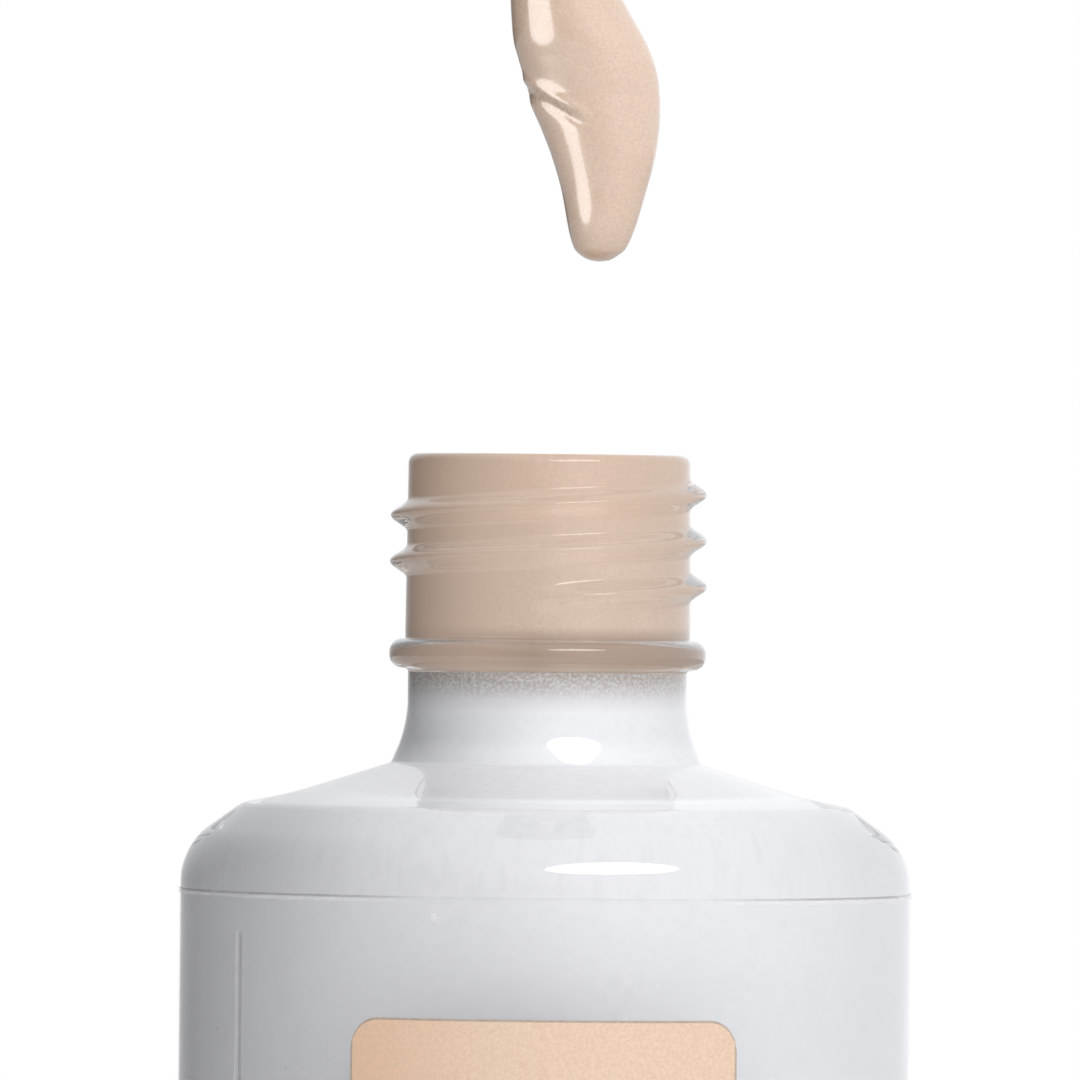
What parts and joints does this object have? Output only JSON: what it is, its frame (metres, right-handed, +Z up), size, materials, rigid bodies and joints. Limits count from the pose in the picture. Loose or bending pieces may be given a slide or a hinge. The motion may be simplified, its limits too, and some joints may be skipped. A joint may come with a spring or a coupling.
{
  "type": "foundation bottle",
  "caption": "Round clear-glass foundation bottle, white-coated inside, with a threaded neck, wrap film, front label and a screw cap with spatula wand.",
  "frame": {"origin": "centre of the foot ring that the bottle stands on", "axes": "+Z up along the bottle's axis, -Y towards the front label, +X to the label's right"},
  "size_m": [0.0506, 0.0507, 0.1652],
  "materials": {
    "clear_glass": "clear polished glass",
    "white_coat": "white lacquer sprayed inside the glass",
    "foundation": "smooth beige liquid foundation",
    "clear_film": "clear gloss label film",
    "label_paper": "peach label with a fine grain",
    "cap_plastic": "white gloss moulding",
    "inner_plastic": "natural satin moulding",
    "wad_foam": "white expanded foam sheet"
  },
  "bodies": {
    "bottle": {"glass_bottle": "clear_glass", "inner_white_coat": "white_coat", "foundation_fill": "foundation", "clear_wrap_label": "clear_film", "front_label": "label_paper"},
    "gasket": {"sealing_wad": "wad_foam"},
    "closure": {"cap_outer_shell": "cap_plastic", "cap_inner_liner": "inner_plastic", "wand_holder": "inner_plastic", "wand_rod": "inner_plastic", "spatula_tip": "inner_plastic", "foundation_dollop": "foundation"}
  },
  "joints": [
    {"name": "cap_lift", "type": "slide", "parent": "bottle", "child": "gasket", "axis": [0, 0, 1], "range_m": [-0.0798, 0], "deforming": ["foundation_fill"]},
    {"name": "cap_turn", "type": "hinge", "parent": "gasket", "child": "closure", "pos_m": [0, 0, 0.1598], "axis": [0, 0, 1], "range_deg": [-720, 0]}
  ]
}
